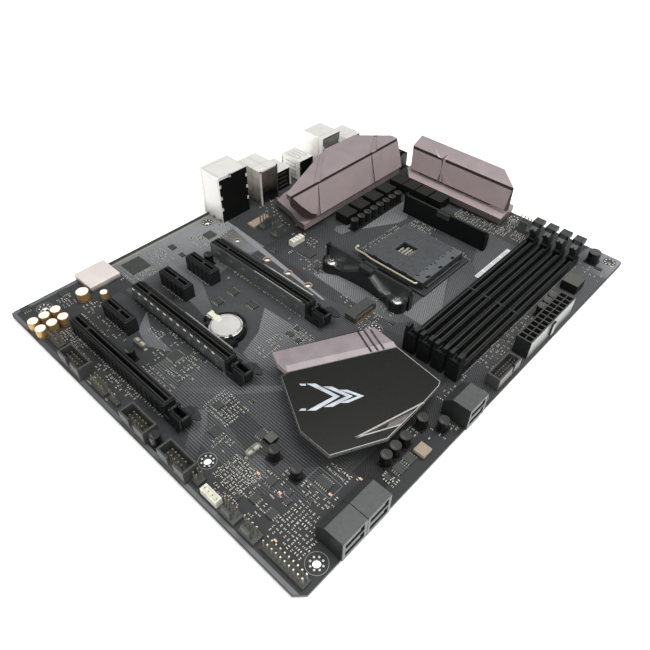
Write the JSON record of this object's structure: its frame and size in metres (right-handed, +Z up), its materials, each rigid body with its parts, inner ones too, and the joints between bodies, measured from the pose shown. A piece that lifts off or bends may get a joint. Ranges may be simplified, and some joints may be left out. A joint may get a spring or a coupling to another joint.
{
  "type": "desktop computer motherboard",
  "caption": "Full-size desktop computer motherboard with processor socket, memory and expansion slots, heatsinks and rear connector blocks",
  "frame": {"origin": "centre of the bounding box in plan, on the lowest plane (tips of the solder tails and face of the cooler back plate)", "axes": "+X from the rear connectors towards the front edge, +Y along the long side from the expansion slots towards the power stage, +Z up from the populated face"},
  "size_m": [0.2468, 0.3048, 0.0393],
  "materials": {
    "board_laminate": "satin solder mask with a woven pattern",
    "solder": "bright solder",
    "back_plate": "black coat",
    "bracket_plastic": "moulded satin",
    "screw_steel": "bright plated",
    "socket_housing": "moulded satin",
    "socket_cover": "smooth satin",
    "lever_wire": "drawn wire",
    "heatsink_metal": "blasted and anodised",
    "thermal_pad": "soft",
    "chip_epoxy": "moulded",
    "choke_ferrite": "pressed powder",
    "capacitor_can": "satin can",
    "memory_plastic": "moulded satin",
    "latch_plastic": "moulded satin",
    "slot_plastic": "moulded satin",
    "armour_steel": "dark plated",
    "card_latch_plastic": "moulded satin",
    "plate_metal": "dark brushed coat",
    "package_substrate": "laminate",
    "cell_steel": "bright satin",
    "contact_metal": "spring strip",
    "power_plastic": "moulded satin",
    "pin_metal": "plated pins",
    "drive_plastic": "moulded satin",
    "header_plastic": "moulded satin",
    "fan_plastic": "moulded satin",
    "tin_plate": "tinned sheet",
    "gold_can": "gold sleeve",
    "polymer_can": "satin can",
    "shell_steel": "tinned sheet"
  },
  "bodies": {
    "board": {"pcb": "board_laminate", "solder_tails_slots": "solder", "solder_tails_memory": "solder", "cooler_backplate": "back_plate", "cooler_bracket_near": "bracket_plastic", "cooler_bracket_far": "bracket_plastic", "bracket_screws": "screw_steel", "cpu_socket_base": "socket_housing", "vrm_heatsink_left": "heatsink_metal", "vrm_heatsink_top": "heatsink_metal", "vrm_thermal_pads": "thermal_pad", "vrm_mosfets": "chip_epoxy", "vrm_chokes": "choke_ferrite", "vrm_capacitors": "capacitor_can", "dimm_slot_1": "memory_plastic", "dimm_slot_2": "memory_plastic", "dimm_slot_3": "memory_plastic", "dimm_slot_4": "memory_plastic", "pcie_x16_slot_1": "slot_plastic", "pcie_x16_slot_2": "slot_plastic", "pcie_x16_slot_3": "slot_plastic", "pcie_x1_slots": "slot_plastic", "pcie_slot_armour": "armour_steel", "chipset_heatsink": "heatsink_metal", "chipset_cover_plate": "plate_metal", "chipset_package": "package_substrate", "battery_holder": "header_plastic", "coin_cell": "cell_steel", "battery_contact": "contact_metal", "m2_connector": "slot_plastic", "atx_power_connector": "power_plastic", "eps_power_connector": "power_plastic", "power_pins": "pin_metal", "usb3_header": "header_plastic", "sata_connectors": "drive_plastic", "pin_headers": "header_plastic", "fan_headers": "fan_plastic", "header_pins": "pin_metal", "audio_shield": "tin_plate", "audio_capacitors": "gold_can", "polymer_capacitors": "polymer_can", "power_chokes": "choke_ferrite", "chip_packages": "chip_epoxy", "crystals": "tin_plate", "audio_jack_block": "shell_steel", "lan_usb_block": "shell_steel", "usb_stack_low": "shell_steel", "usb_stack_sprung": "shell_steel", "display_port_block": "shell_steel", "ps2_port_block": "shell_steel"},
    "memory_latch_1": {"dimm_latch_1": "latch_plastic"},
    "memory_latch_2": {"dimm_latch_2": "latch_plastic"},
    "memory_latch_3": {"dimm_latch_3": "latch_plastic"},
    "memory_latch_4": {"dimm_latch_4": "latch_plastic"},
    "card_latch_1": {"pcie_latch_1": "card_latch_plastic"},
    "card_latch_2": {"pcie_latch_2": "card_latch_plastic"},
    "card_latch_3": {"pcie_latch_3": "card_latch_plastic"},
    "socket_lever": {"cpu_socket_lever": "lever_wire"},
    "socket_cover": {"cpu_socket_cover": "socket_cover"}
  },
  "joints": [
    {"name": "memory_latch_1_turn", "type": "hinge", "parent": "board", "child": "memory_latch_1", "pos_m": [0.06903, 0.1254, 0.007], "axis": [-1, 0, 0], "range_deg": [0, 30]},
    {"name": "memory_latch_2_turn", "type": "hinge", "parent": "board", "child": "memory_latch_2", "pos_m": [0.07863, 0.1254, 0.007], "axis": [-1, 0, 0], "range_deg": [0, 30]},
    {"name": "memory_latch_3_turn", "type": "hinge", "parent": "board", "child": "memory_latch_3", "pos_m": [0.08823, 0.1254, 0.007], "axis": [-1, 0, 0], "range_deg": [0, 30]},
    {"name": "memory_latch_4_turn", "type": "hinge", "parent": "board", "child": "memory_latch_4", "pos_m": [0.09783, 0.1254, 0.007], "axis": [-1, 0, 0], "range_deg": [0, 30]},
    {"name": "card_latch_1_turn", "type": "hinge", "parent": "board", "child": "card_latch_1", "pos_m": [0.01763, -0.131, 0.0064], "axis": [0, 1, 0], "range_deg": [0, 20]},
    {"name": "card_latch_2_turn", "type": "hinge", "parent": "board", "child": "card_latch_2", "pos_m": [0.01763, -0.09036, 0.0064], "axis": [0, 1, 0], "range_deg": [0, 20]},
    {"name": "card_latch_3_turn", "type": "hinge", "parent": "board", "child": "card_latch_3", "pos_m": [0.01763, -0.0294, 0.0064], "axis": [0, 1, 0], "range_deg": [0, 20]},
    {"name": "socket_lever_lift", "type": "hinge", "parent": "board", "child": "socket_lever", "pos_m": [0.03963, 0.0546, 0.009], "axis": [0, 1, 0], "range_deg": [0, 95]},
    {"name": "socket_cover_slide", "type": "slide", "parent": "board", "child": "socket_cover", "axis": [-1, 0, 0], "range_m": [0, 0.0012]}
  ],
  "couplings": [
    {"joint": "socket_cover_slide", "follows": "socket_lever_lift", "m_per_rad": 0.0007}
  ]
}
